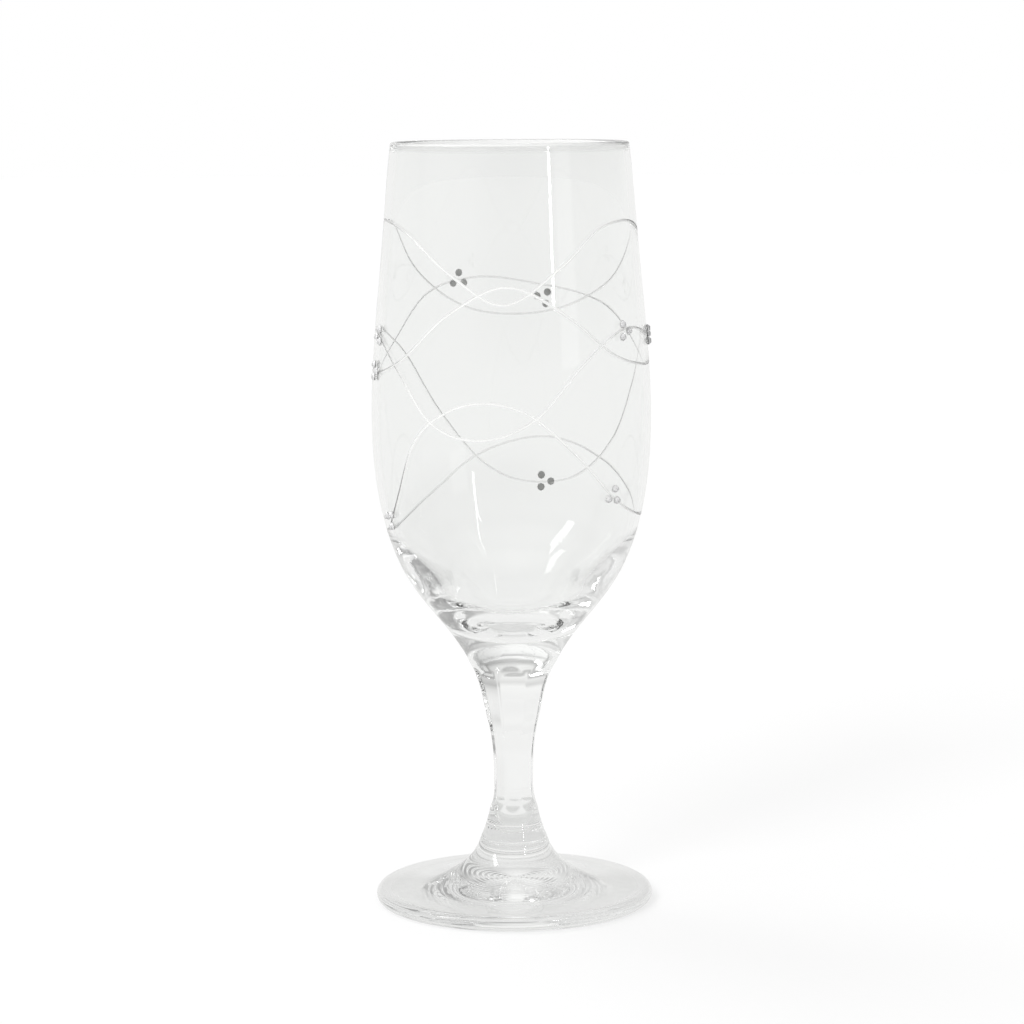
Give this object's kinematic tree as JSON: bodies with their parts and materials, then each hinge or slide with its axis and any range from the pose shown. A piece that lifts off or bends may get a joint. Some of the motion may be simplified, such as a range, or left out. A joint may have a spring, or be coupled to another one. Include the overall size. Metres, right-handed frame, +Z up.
{
  "type": "stemmed flute glass",
  "caption": "Clear tulip-bowled drinking glass on a short faceted stem and round foot, with engraved wave lines and small glued stones.",
  "frame": {"origin": "centre of the circle the foot stands on, at table height", "axes": "+Z up along the stem to the rim; -Y is the side with the front wave crest and a stem flat; +X to the right of it"},
  "size_m": [0.0684, 0.0684, 0.187],
  "materials": {
    "clear_glass": "clear polished, engraved lines left bright",
    "stone_crystal": "faceted crystal on a silver foil back",
    "clear_glue": "cured clear adhesive"
  },
  "bodies": {
    "root": {"bowl": "clear_glass", "stem": "clear_glass", "foot": "clear_glass", "stone_1_1": "stone_crystal", "glue_1_1": "clear_glue", "stone_1_2": "stone_crystal", "glue_1_2": "clear_glue", "stone_1_3": "stone_crystal", "glue_1_3": "clear_glue", "stone_2_1": "stone_crystal", "glue_2_1": "clear_glue", "stone_2_2": "stone_crystal", "glue_2_2": "clear_glue", "stone_2_3": "stone_crystal", "glue_2_3": "clear_glue", "stone_3_1": "stone_crystal", "glue_3_1": "clear_glue", "stone_3_2": "stone_crystal", "glue_3_2": "clear_glue", "stone_3_3": "stone_crystal", "glue_3_3": "clear_glue", "stone_4_1": "stone_crystal", "glue_4_1": "clear_glue", "stone_4_2": "stone_crystal", "glue_4_2": "clear_glue", "stone_4_3": "stone_crystal", "glue_4_3": "clear_glue", "stone_5_1": "stone_crystal", "glue_5_1": "clear_glue", "stone_5_2": "stone_crystal", "glue_5_2": "clear_glue", "stone_5_3": "stone_crystal", "glue_5_3": "clear_glue", "stone_6_1": "stone_crystal", "glue_6_1": "clear_glue", "stone_6_2": "stone_crystal", "glue_6_2": "clear_glue", "stone_6_3": "stone_crystal", "glue_6_3": "clear_glue", "stone_7_1": "stone_crystal", "glue_7_1": "clear_glue", "stone_7_2": "stone_crystal", "glue_7_2": "clear_glue", "stone_7_3": "stone_crystal", "glue_7_3": "clear_glue", "stone_8_1": "stone_crystal", "glue_8_1": "clear_glue", "stone_8_2": "stone_crystal", "glue_8_2": "clear_glue", "stone_8_3": "stone_crystal", "glue_8_3": "clear_glue", "stone_9_1": "stone_crystal", "glue_9_1": "clear_glue", "stone_9_2": "stone_crystal", "glue_9_2": "clear_glue", "stone_9_3": "stone_crystal", "glue_9_3": "clear_glue"}
  },
  "joints": []
}
